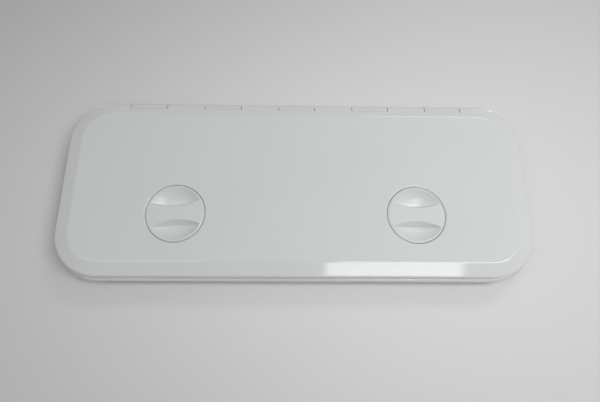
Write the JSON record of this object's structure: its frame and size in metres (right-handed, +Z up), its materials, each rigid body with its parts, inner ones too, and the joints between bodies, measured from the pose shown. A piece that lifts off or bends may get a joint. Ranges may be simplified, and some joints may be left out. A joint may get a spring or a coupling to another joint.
{
  "type": "deck hatch",
  "caption": "Rectangular hinged access hatch for a boat's deck or locker: a moulded lid with bevelled border on a flanged frame, with flush turning latches.",
  "frame": {"origin": "centre of the deck cut-out, on the deck's surface, which is the plane of the flange's underside", "axes": "+X along the hatch, +Y towards the hinge, +Z up out of the deck"},
  "size_m": [0.607, 0.243, 0.039],
  "materials": {
    "frame_plastic": "smooth moulded white",
    "lid_plastic": "smooth moulded white",
    "knob_plastic": "smooth moulded white",
    "dog_plastic": "moulded, natural",
    "stainless": "satin",
    "seal_rubber": "soft closed-cell"
  },
  "bodies": {
    "frame": {"deck_frame": "frame_plastic", "hinge_rod": "stainless"},
    "lid": {"lid_panel": "lid_plastic", "lid_seal": "seal_rubber", "hinge_plug_left": "lid_plastic", "hinge_plug_right": "lid_plastic"},
    "latch_left": {"latch_knob_left": "knob_plastic", "spindle_seal_left": "seal_rubber", "spring_washer_left": "stainless", "latch_dog_left": "dog_plastic", "dog_washer_left": "stainless", "dog_screw_left": "stainless"},
    "latch_right": {"latch_knob_right": "knob_plastic", "spindle_seal_right": "seal_rubber", "spring_washer_right": "stainless", "latch_dog_right": "dog_plastic", "dog_washer_right": "stainless", "dog_screw_right": "stainless"}
  },
  "joints": [
    {"name": "lid_hinge", "type": "hinge", "parent": "frame", "child": "lid", "pos_m": [0, 0.11295, 0.01035], "axis": [-1, 0, 0], "range_deg": [0, 170]},
    {"name": "latch_left_turn", "type": "hinge", "parent": "lid", "child": "latch_left", "pos_m": [-0.1522, -0.039, 0], "axis": [0, 0, 1], "range_deg": [-94.5, 0.5]},
    {"name": "latch_right_turn", "type": "hinge", "parent": "lid", "child": "latch_right", "pos_m": [0.1522, -0.039, 0], "axis": [0, 0, 1], "range_deg": [-89, 6]}
  ]
}
